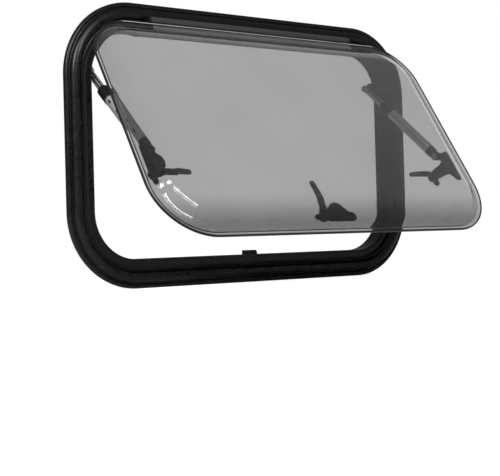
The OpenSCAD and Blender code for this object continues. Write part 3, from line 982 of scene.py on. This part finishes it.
def stay_rod(side, looks, materials, place):
    """The grooved rod, its eye and the eye's rivet."""
    sign = SIDES[side]
    body = f"rod_{side}"
    metal = materials["stay aluminium"]
    low, high = along_stay(f"stay_rod_{side}", side)
    rod = rounded(prism(rod_section(looks.stays.groove / MM, sign), low, high), ROD_SOFT, 1, 50)
    # Faces down in the grooves take the painted shade
    for face in rod.faces:
        middle = face.calc_center_median()
        in_groove = math.hypot(middle.x, middle.y) < ROD_R - GROOVE_START
        if in_groove and abs(face.normal.z) < 0.5:
            face.material_index = 1
    metals = [metal, materials["recess painted shade"]]
    piece(f"stay_rod_bar_{side}", rod, place, body, metals, [f"stay_rod_{side}"], own_axes=True)

    length = high + KNUCKLE_R + 1
    eye = joined(
        cross_bar(KNUCKLE_R, -KNUCKLE_HALF, KNUCKLE_HALF),
        box((-KNUCKLE_HALF, -NECK_HALF, -KNUCKLE_R - 1), (KNUCKLE_HALF, NECK_HALF, 0)),
    )
    eye = moved(moulded(eye, KNUCKLE_CELL, SOFT_PASSES), shift(z=length))
    piece(f"stay_eye_{side}", eye, place, body, metal, [f"rod_eye_{side}"], 180)
    rivet = turned([(0, 0), (3.5, 0), (3.4, 0.7), (2.6, 1.3), (1.2, 1.6), (0, 1.6)])
    moved(rivet, shift(z=length), mirror_x(sign), shift(x=-KNUCKLE_HALF), turn(-90, "Y"))
    piece(f"stay_eye_rivet_{side}", rivet, place, body, materials["steel"])


def slot_cutters(stays, sign, high):
    """Cutters for the tube's catch slots, whose cut faces are painted near-black as shade."""
    length, width, pitch = (value / MM for value in (stays.slot_length, stays.slot_width, stays.slot_pitch))
    end_r = width / 2 - 0.01
    outline = round_outline(length, width, end_r, end_r, 6)
    side_turn = SLOT_TURN if sign < 0 else 180 - SLOT_TURN
    cutters = []
    for i in range(stays.slots):
        cutter = prism(outline, TUBE_R - SLOT_DEPTH, TUBE_R + 2)
        # The cut faces take painted shade: the slots stop short of the bore, and their dark floor stands in
        # for a hole's shadow
        for face in cutter.faces:
            face.material_index = 1
        up = high - SLOT_START - i * pitch
        cutters.append(moved(cutter, turn(side_turn, "Z"), shift(z=up), turn(90, "Y")))
    return cutters


def stay_tube(side, looks, materials, place):
    """The slotted tube, closed at its lower end."""
    low, high = along_stay(f"stay_tube_{side}", side)
    floor, cut = low + 3, 0.4
    tube = turned(
        [(0, floor), (TUBE_BORE_R, floor), (TUBE_BORE_R, high), (TUBE_R, high)]
        + [(TUBE_R, low + cut), (TUBE_R - cut, low), (0, low)],
        64,
    )
    cutters = slot_cutters(looks.stays, SIDES[side], high)
    if cutters:
        tube = carved(tube, *cutters)
    metals = [materials["stay aluminium"], materials["recess painted shade"]]
    name, body, stood_for = f"stay_tube_slotted_{side}", f"tube_{side}", f"stay_tube_{side}"
    piece(name, tube, place, body, metals, [stood_for], 30, True)


def stay_collar(side, nylon, place):
    """The collar's nut at the tube's upper end, with its step down to the rod."""
    low, high = along_stay(f"stay_collar_{side}", side)
    turns = [math.tau * (i + 0.5) / COLLAR_FLATS for i in range(COLLAR_FLATS)]
    outline = [(COLLAR_R * math.cos(t), COLLAR_R * math.sin(t)) for t in turns]
    sleeve = rounded(prism(outline, low, high), 0.9, 3, 30)
    wide = TUBE_R + 0.02
    hole = turned(
        [(0, low - 1), (wide, low - 1), (wide, low + 6), (TUBE_BORE_R, low + 6.2)]
        + [(TUBE_BORE_R, high + 1), (0, high + 1)]
    )
    sleeve = carved(sleeve, hole)
    node_name, body = f"stay_collar_{side}", f"tube_{side}"
    piece(f"stay_collar_nut_{side}", sleeve, place, body, nylon, [node_name])


def stay_knuckle(side, nylon, place):
    """The tube's lower end with the hole for its pin."""
    knuckle = joined(
        cross_bar(KNUCKLE_R, -KNUCKLE_HALF, KNUCKLE_HALF),
        box((-KNUCKLE_HALF, -NECK_HALF, 0), (KNUCKLE_HALF, NECK_HALF, KNUCKLE_LEN - KNUCKLE_PLUG + 2)),
        cylinder(TUBE_R, KNUCKLE_LEN - KNUCKLE_PLUG, KNUCKLE_LEN),
    )
    knuckle = moulded(knuckle, KNUCKLE_CELL, SOFT_PASSES)
    knuckle = carved(knuckle, cross_bar(PIN_HOLE_R, -8, 8))
    node_name, body = f"tube_end_{side}", f"tube_{side}"
    piece(f"stay_knuckle_{side}", knuckle, place, body, nylon, [node_name], 40)


def stay_foot(side, nylon, steel):
    """The ear on the latch base and the pin that carries the stay."""
    flip = mirror_x(SIDES[side])
    pivot = SASH.inverted() @ Vector(JOINTS[f"tube_pivot_{side}"]["pos_m"])
    place = SASH @ Matrix.Translation(pivot)
    end = EAR_START + EAR_T
    ear = joined(
        moved(cylinder(EAR_R, 0, EAR_T), shift(x=EAR_START), turn(90, "Y")),
        box((EAR_START, -EAR_R, 0), (end, 3, EAR_R)),
    )
    ear = moved(moulded(ear, EAR_CELL, SOFT_PASSES), flip)
    piece(f"stay_ear_{side}", ear, place, "sash", nylon, [f"stay_foot_{side}"], 180)
    top = EAR_START + PIN_HEAD_T
    pin = turned(
        [(0, -end), (1.9, -end), (PIN_R, 0.5 - end), (PIN_R, EAR_START)]
        + [(PIN_HEAD_R, EAR_START), (PIN_HEAD_R, EAR_START + 0.9), (3.2, top), (0, top)]
    )
    moved(pin, flip, turn(-90, "Y"))
    piece(f"stay_pin_{side}", pin, place, "sash", steel)


class WINDOW_OT_stays(bpy.types.Operator):
    """Build both telescopic stays with their collars, knuckles, ears and pins"""

    bl_idname = "caravan_window.stays"
    bl_label = "Stays"

    def execute(self, context):
        looks = context.scene.window_looks
        materials = finishes(looks)
        nylon = materials["black nylon"]
        for side in SIDES:
            place = stay_frame(side)
            stay_rod(side, looks, materials, place)
            stay_tube(side, looks, materials, place)
            stay_collar(side, nylon, place)
            stay_knuckle(side, nylon, place)
            stay_foot(side, nylon, materials["steel"])
        return {"FINISHED"}


# Latches


BASE_T = 3
BASE_BACK = INNER_BACK - BASE_T
BASE_LONG = 46
BASE_SHIFT = 1.5
BASE_INNER = 9.04
BASE_REACH = 22
BASE_DEEP = BASE_REACH - BASE_INNER
BASE_R = 6
TONGUE_HALF = 17
TONGUE_R = 6
TONGUE_UP = 4
HEEL_DOWN = 2
GUSSET_HALF = 11
GUSSET_H = 9
GUSSET_DOWN = 3
ARM_HALF = 5.5
ARM_UP = 3
ARM_LOW = -BASE_INNER - 7
HUB_R = 6.5
HUB_LEVEL = 23.6
HUB_END = 31.6
HUB_GAP = 0.3
PIN_START = 20
CAP_H = 2
FOOT_LEVEL = 25.6
FOOT_T = 4
FOOT_W = 10
FOOT_REACH = 13.5
HANDLE_LEN = 48
HANDLE_W = 8
HANDLE_TIP_W = 5
HANDLE_T = 4.5
HANDLE_RISE = 5
HANDLE_DIP = 2.5
SCREW_SPREAD = 17.5
# Share of a latch moulding's faces that are kept once it is melted together
LATCH_KEEP = 0.35


def latch_frame(place):
    """A latch's frame: its pivot is Z, the handle runs towards +Y and the foot towards -X."""
    pivot = SASH.inverted() @ Vector(JOINTS[f"latch_turn_{place}"]["pos_m"])
    pivot.z = 0
    quarter = {"left": -90, "right": 90, "bottom": 0}[place]
    return SASH @ Matrix.Translation(pivot) @ turn(quarter, "Z")


def latch_base(smoothing, cell):
    """Flange, tongue, gusset and slanted arm, melted into one moulding."""
    arm_top = HUB_GAP - HUB_LEVEL
    base_top = BASE_BACK + 1
    flange = prism(round_outline(BASE_LONG, BASE_DEEP, BASE_R, BASE_R, 10), BASE_BACK, INNER_BACK)
    moved(flange, shift(x=BASE_SHIFT, y=-BASE_INNER - BASE_DEEP / 2))
    root = -BASE_INNER - 1
    tongue = prism(trapezium(TONGUE_HALF, root, TONGUE_R, TONGUE_UP), BASE_BACK, INNER_BACK)
    heel = moved(cylinder(TONGUE_R + 1, BASE_BACK, INNER_BACK), shift(y=-HEEL_DOWN))
    web = trapezium(GUSSET_HALF, base_top, ARM_HALF, BASE_BACK - GUSSET_H)
    gusset = moved(prism(web, GUSSET_DOWN, GUSSET_DOWN + BASE_INNER), turn(90, "X"))
    outline = [(ARM_LOW, base_top), (ARM_UP, base_top), (HUB_R - 1, arm_top), (1 - HUB_R, arm_top)]
    arm = moved(prism(outline, -ARM_HALF, ARM_HALF), turn(90, "Z"), turn(90, "X"))
    neck = cylinder(HUB_R - 0.8, arm_top, arm_top + 5)
    return moulded(joined(flange, tongue, heel, gusset, arm, neck), cell, smoothing, LATCH_KEEP)


def handle_side():
    """The handle seen from its side, as (along, outward) points."""
    root = -HUB_LEVEL - 0.5
    bend = HUB_R + 0.8
    top = root + HANDLE_RISE
    knee = HANDLE_LEN * 0.6
    return [
        (0, root),
        (bend, root),
        (bend + 4.5, top),
        (knee, top + 0.6),
        (HANDLE_LEN, top + 0.6 - HANDLE_DIP),
        (HANDLE_LEN, top + 1.3 - HANDLE_DIP - HANDLE_T),
        (knee, top + 0.3 - HANDLE_T),
        (bend + 7, top - HANDLE_T),
        (bend + 1, root - HANDLE_T),
        (0, root - HANDLE_T - 0.5),
    ]


def latch_lever(smoothing, cell):
    """Hub, foot with its round tip and the bent, tapering handle."""
    hub = cylinder(HUB_R, -HUB_END, -HUB_LEVEL)
    low, high = -FOOT_LEVEL - FOOT_T, -FOOT_LEVEL
    tip_r = FOOT_W / 2 - 1
    half = FOOT_W / 2 - 1.2
    foot = box((tip_r - FOOT_REACH, -half, low), (0, half, high))
    tip = moved(cylinder(tip_r, low, high), shift(x=tip_r - FOOT_REACH))
    bar = prism(handle_side(), -HANDLE_W / 2, HANDLE_W / 2)
    moved(bar, turn(90, "Z"), turn(90, "X"))
    for vert in bar.verts:
        vert.co.x *= 1 - (1 - HANDLE_TIP_W / HANDLE_W) * max(0, vert.co.y) / HANDLE_LEN
    lever = moulded(joined(hub, foot, tip, bar), cell, smoothing, LATCH_KEEP)
    return carved(lever, cylinder(PIN_HOLE_R, -HUB_END - 1, 0))


def latch_cap():
    """The button that holds the lever on its pin, hollow at its middle."""
    top, rim = -HUB_END - HUB_GAP, HUB_R - 1.5
    hollow = top - CAP_H + 0.7
    return turned(
        [(0, top), (rim, top), (rim, top - 1.1), (rim - 0.6, top - 1.7), (2.2, top - CAP_H)]
        + [(2.0, hollow), (0, hollow)]
    )


def screw_head(r):
    """A screw's head with a recess, seated in the latch base."""
    recess = [(0, -0.1), (0.9, -0.1), (1.0, -0.5)]
    return turned(recess + [(r * 0.8, -0.55), (r, -0.1), (r, 0.4), (0, 0.4)], 32)


class WINDOW_OT_latches(bpy.types.Operator):
    """Build the three latches with their bases, levers, caps and screws"""

    bl_idname = "caravan_window.latches"
    bl_label = "Latches"

    def execute(self, context):
        looks = context.scene.window_looks
        materials = finishes(looks)
        nylon, steel = materials["black nylon"], materials["steel"]
        cell, passes = looks.latches.fineness / MM, looks.latches.smoothing
        for place in PLACES:
            at = latch_frame(place)
            flip = mirror_x(-1 if place == "left" else 1)
            base = moved(latch_base(passes, cell), flip)
            piece(f"latch_body_{place}", base, at, "sash", nylon, [f"latch_base_{place}"], 180)
            pin = cylinder(PIN_R, -HUB_END - HUB_GAP, -PIN_START)
            piece(f"latch_pin_{place}", pin, at, "sash", steel)
            lever = moved(latch_lever(passes, cell), flip)
            body = f"lever_{place}"
            piece(f"latch_handle_{place}", lever, at, body, nylon, [f"latch_lever_{place}"], 40)
            piece(f"latch_button_{place}", latch_cap(), at, "sash", nylon, [f"latch_cap_{place}"])
            for number, offset in enumerate((-SCREW_SPREAD, SCREW_SPREAD), 1):
                head = screw_head(looks.latches.screw / MM / 2)
                moved(head, flip, shift(BASE_SHIFT + offset, -BASE_INNER - BASE_DEEP / 2, BASE_BACK))
                piece(f"latch_screw_{place}_{number}", head, at, "sash", steel)
        return {"FINISHED"}


# Keepers and brackets


KEEPER_LEN = 20
KEEPER_H = 5.5
KEEPER_DEEP = 7.5
KEEPER_RAMP = 2.5
# How far the keepers' backs lie in front of the stub's inner end
KEEPER_IN = 8
# How far the keepers reach into the frame, past its inner face
KEEPER_ROOT = 0.6
KEEPER_SOFT = 0.7
BRACKET_R = 4
BRACKET_SOFT = 0.6


def keeper_solid():
    """A keeper's block with soft edges and a ramp for the latch's foot."""
    back = KEEPER_IN - STUB_DEPTH
    front = back + KEEPER_DEEP
    ramp = [(front - KEEPER_RAMP, KEEPER_H), (front, KEEPER_H - KEEPER_RAMP)]
    outline = [(back, -KEEPER_ROOT), (back, KEEPER_H), *ramp, (front, -KEEPER_ROOT)]
    solid = prism(outline, -KEEPER_LEN / 2, KEEPER_LEN / 2)
    return moved(rounded(solid, KEEPER_SOFT, 3, 30), turn(-90, "Y"))


def bracket_solid(node_name):
    """A stay bracket's plate with round corners and soft edges."""
    low, high = box_mm(node_name)
    wide, deep, tall = high.x - low.x, high.y - low.y, high.z - low.z
    plate = prism(round_outline(deep, tall, BRACKET_R, BRACKET_R, 8), -wide / 2, wide / 2)
    return rounded(plate, BRACKET_SOFT, 2, 50)


class WINDOW_OT_catches(bpy.types.Operator):
    """Build the keepers that the latches turn behind and the stays' brackets"""

    bl_idname = "caravan_window.catches"
    bl_label = "Keepers and Brackets"

    def execute(self, context):
        nylon = finishes(context.scene.window_looks)["black nylon"]
        for place in PLACES:
            node_name = f"keeper_{place}"
            middle = middle_mm(node_name)
            side = SIDES.get(place, 0)
            across = side * CLEAR_HALF if side else middle.x
            up = middle.z - CENTRE_UP if side else FACE_W - FRAME_H / 2
            at = FACE @ shift(across * MM, up * MM) @ turn(90 * side, "Z")
            piece(f"keeper_block_{place}", keeper_solid(), at, "frame", nylon, [node_name])
        for side in SIDES:
            name = f"stay_bracket_{side}"
            at = Matrix.Translation(middle_mm(name) * MM) @ turn(90, "Y") @ turn(90, "Z")
            plate = bracket_solid(name)
            piece(f"stay_bracket_plate_{side}", plate, at, "frame", nylon, [name])
        return {"FINISHED"}


# Stage


# The photograph's view, solved from the frame's outline
CAMERA_AT = Vector((-0.860895, -1.109878, 0.052667))
CAMERA_YAW, CAMERA_PITCH, CAMERA_ROLL = 34.476, 1.0067, -1.5622
CAMERA_SHIFT = (0.12, -0.046)
WINDOW_MIDDLE = Vector((0, 0, 0.15))
# Each lamp's place, its two sizes and the way that its first size runs
SIDE_LAMP = ((-1.7, -1.1, 1.3), (0.7, 0.9), (0.55, -0.83, 0))
STRIP_LAMP = ((-0.325, -1.975, 1.31), (1.39, 0.2), (0.65, -0.45, -0.6))
SMALL_LAMP = ((-0.88, -1.38, 1.91), (0.26, 0.18), (1, 0, 0))
FLOOR_CORNERS = ((-1, -1), (1, -1), (1, 1), (-1, 1))
FLOOR_HALF = 12
FLOOR_DROP = 0.0002
# Glow that the camera sees on the floor, so that it meets the white background
FLOOR_GLOW = 0.87


def camera_matrix():
    """The camera's place and the way it looks."""
    yaw, pitch, roll = (math.radians(a) for a in (CAMERA_YAW, CAMERA_PITCH, CAMERA_ROLL))
    ahead = Vector((math.sin(yaw) * math.cos(pitch), math.cos(yaw) * math.cos(pitch), math.sin(pitch)))
    right = Vector((math.cos(yaw), -math.sin(yaw), 0))
    up = right.cross(ahead)
    level_right = math.cos(roll) * right + math.sin(roll) * up
    level_up = math.cos(roll) * up - math.sin(roll) * right
    return axes(CAMERA_AT, level_right, level_up, -ahead)


def seen_directly(tree):
    """1 for the camera's rays, straight or through the panes, which see the plain white background."""
    straight = node(tree, "ShaderNodeLightPath", "Is Camera Ray")
    through = node(tree, "ShaderNodeLightPath", "Is Transmission Ray")
    return node(tree, "ShaderNodeMath", "Value", {0: straight, 1: through}, operation="MAXIMUM")


def white_world(strength):
    """An even grey light all round that the camera sees as white."""
    world = bpy.data.worlds.new("studio")
    world.use_nodes = True
    bpy.context.scene.world = world
    tree = world.node_tree
    level = spread_value(tree, seen_directly(tree), strength, 1, 0, 1)
    feed(tree, tree.nodes["Background"], {"Color": (1, 1, 1, 1), "Strength": level})


def lamp(name, power, at, size, along_way):
    """A rectangular soft lamp that faces the window, its first size along a given way."""
    data = bpy.data.lights.new(name, "AREA")
    data.shape = "RECTANGLE"
    data.size, data.size_y = size
    data.energy = power
    back = (Vector(at) - WINDOW_MIDDLE).normalized()
    side = Vector(along_way)
    side = (side - side.dot(back) * back).normalized()
    placed(name, data).matrix_world = axes(at, side, back.cross(side), back)


def pale_floor(colour):
    """The plain pale floor just below the window."""
    tree, shader = new_material("pale floor")
    glow = spread_value(tree, seen_directly(tree), 0, FLOOR_GLOW, 0, 1)
    feed(tree, shader, {"Base Color": (*colour, 1), "Roughness": 0.9, "Specular IOR Level": 0.1})
    feed(tree, shader, {"Emission Color": (1, 1, 1, 1), "Emission Strength": glow})
    level = CAD_BOX[0].z - FLOOR_DROP
    plane = bmesh.new()
    plane.faces.new([plane.verts.new((x * FLOOR_HALF, y * FLOOR_HALF, level)) for x, y in FLOOR_CORNERS])
    floor = loose_object(plane, "floor")
    floor.data.materials.append(bpy.data.materials["pale floor"])


def photo_camera(lens):
    """The camera at the photograph's place."""
    data = bpy.data.cameras.new("camera")
    data.lens = lens
    data.sensor_width = 36
    data.shift_x, data.shift_y = CAMERA_SHIFT
    made = placed("camera", data)
    made.matrix_world = camera_matrix()
    bpy.context.scene.camera = made


class WINDOW_OT_stage(bpy.types.Operator):
    """Build the floor, the lamps and the camera"""

    bl_idname = "caravan_window.stage"
    bl_label = "Stage"

    def execute(self, context):
        stage = context.scene.window_looks.stage
        white_world(stage.ambient)
        pale_floor(stage.floor_tone)
        lamp("side lamp", stage.key_power, *SIDE_LAMP)
        lamp("strip lamp", stage.strip_power, *STRIP_LAMP)
        lamp("small lamp", stage.spot_power, *SMALL_LAMP)
        photo_camera(stage.lens)
        context.scene.view_settings.view_transform = "Standard"
        return {"FINISHED"}


class WINDOW_PT_looks(bpy.types.Panel):
    """Lists the window's builders in the 3D view's sidebar"""

    bl_idname = "WINDOW_PT_looks"
    bl_label = "Caravan Window"
    bl_space_type = "VIEW_3D"
    bl_region_type = "UI"
    bl_category = "Window"

    def draw(self, context):
        looks = context.scene.window_looks
        for operator in OPERATORS:
            self.layout.operator(operator.bl_idname)
        for part in ("frame", "seal", "panes", "hinge", "stays", "latches", "stage"):
            group = getattr(looks, part)
            column = self.layout.column(align=True)
            for key in group.bl_rna.properties.keys():
                if key not in ("rna_type", "name"):
                    column.prop(group, key)


GROUPS = (FrameLooks, SealLooks, PaneLooks, HingeLooks, StayLooks, LatchLooks, StageLooks, WindowLooks)
OPERATORS = (
    WINDOW_OT_stage,
    WINDOW_OT_frame,
    WINDOW_OT_seal,
    WINDOW_OT_hinge,
    WINDOW_OT_panes,
    WINDOW_OT_stays,
    WINDOW_OT_latches,
    WINDOW_OT_catches,
)


def register():
    """Makes the classes and the window's settings known to Blender."""
    for cls in (*GROUPS, *OPERATORS, WINDOW_PT_looks):
        bpy.utils.register_class(cls)
    bpy.types.Scene.window_looks = PointerProperty(type=WindowLooks)


def unregister():
    """Takes them away again."""
    del bpy.types.Scene.window_looks
    for cls in reversed((*GROUPS, *OPERATORS, WINDOW_PT_looks)):
        bpy.utils.unregister_class(cls)


def main():
    """Builds the window and its stage."""
    register()
    for operator in OPERATORS:
        name = operator.bl_idname.split(".")[1]
        getattr(bpy.ops.caravan_window, name)()


if __name__ == "__main__":
    main()
